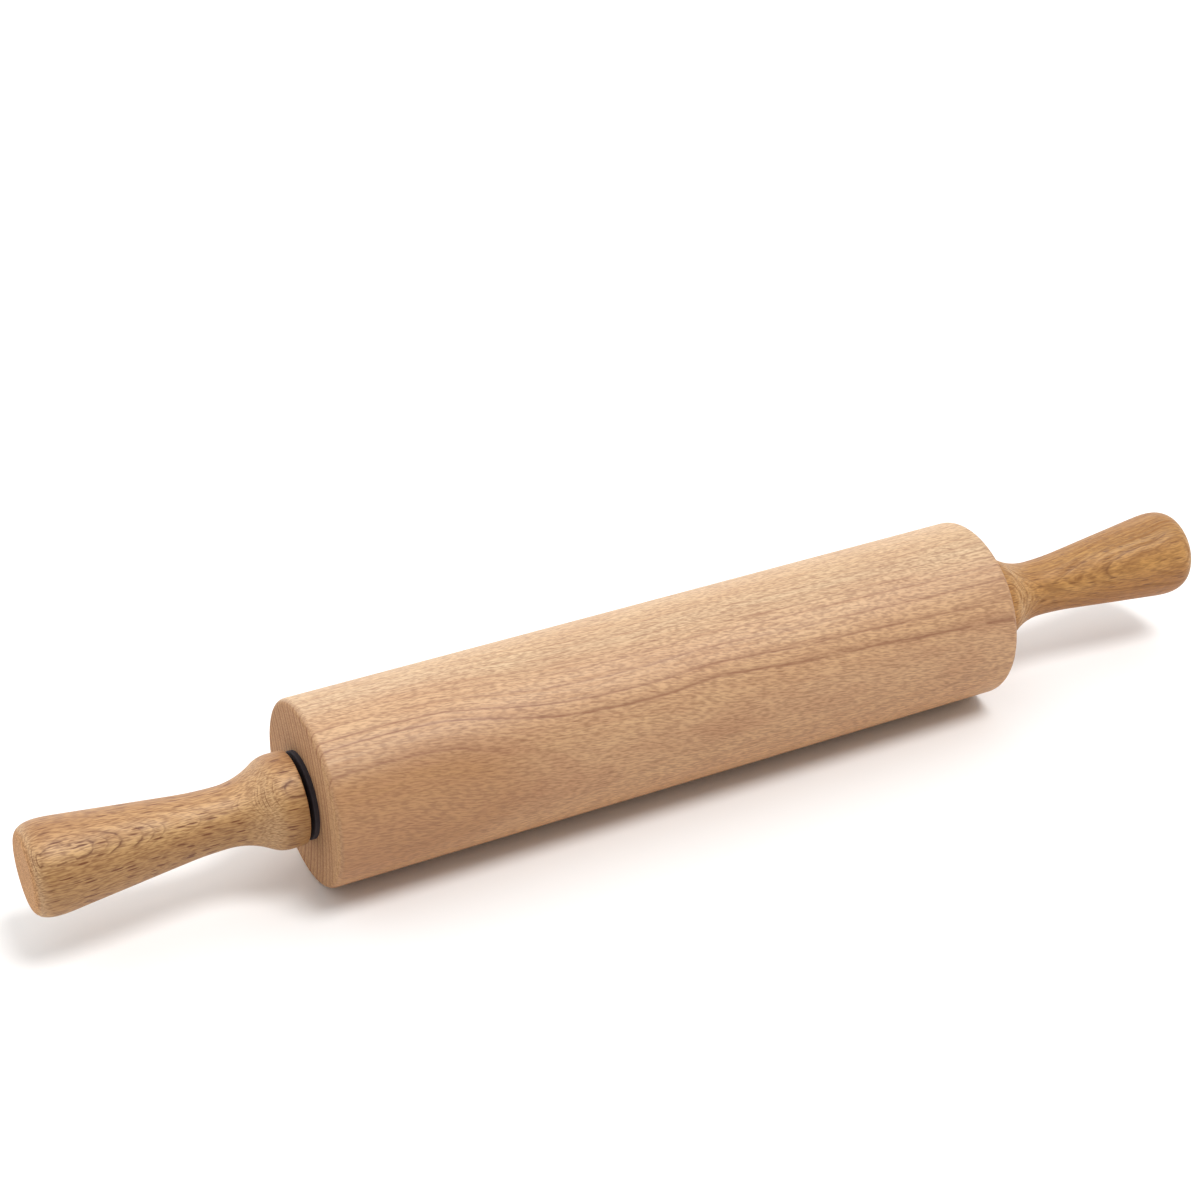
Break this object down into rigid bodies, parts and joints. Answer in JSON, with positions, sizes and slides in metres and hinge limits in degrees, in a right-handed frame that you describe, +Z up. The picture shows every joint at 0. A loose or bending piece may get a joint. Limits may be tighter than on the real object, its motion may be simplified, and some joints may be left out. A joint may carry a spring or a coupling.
{
  "type": "rolling pin",
  "caption": "Beech rolling pin with a revolving cylindrical barrel on a steel axle between turned handles with a crowned collar, slim neck and tapered grip.",
  "frame": {"origin": "on the resting surface, under the middle of the barrel, midway between the handle ends", "axes": "+X along the pin from the left handle to the right handle, +Z up, +Y away from the picture's viewer"},
  "size_m": [0.418, 0.06, 0.06],
  "materials": {
    "beech_barrel": "fine-sanded steamed beech, unvarnished, growth rings and ray flecks along the pin",
    "beech_handle": "fine-sanded beech, golden, short dark ray flecks",
    "axle_steel": "drawn bright steel",
    "bush_nylon": "moulded black nylon, satin",
    "washer_steel": "pressed plain steel",
    "insert_brass": "turned brass"
  },
  "bodies": {
    "handles": {"axle_rod": "axle_steel", "left_thrust_washer": "washer_steel", "right_thrust_washer": "washer_steel", "left_threaded_insert": "insert_brass", "right_threaded_insert": "insert_brass", "left_handle": "beech_handle", "right_handle": "beech_handle"},
    "roller": {"barrel": "beech_barrel", "left_bush": "bush_nylon", "right_bush": "bush_nylon"}
  },
  "joints": [
    {"name": "barrel_spin", "type": "hinge", "parent": "handles", "child": "roller", "pos_m": [0, 0, 0.03], "axis": [1, 0, 0], "continuous": true}
  ]
}
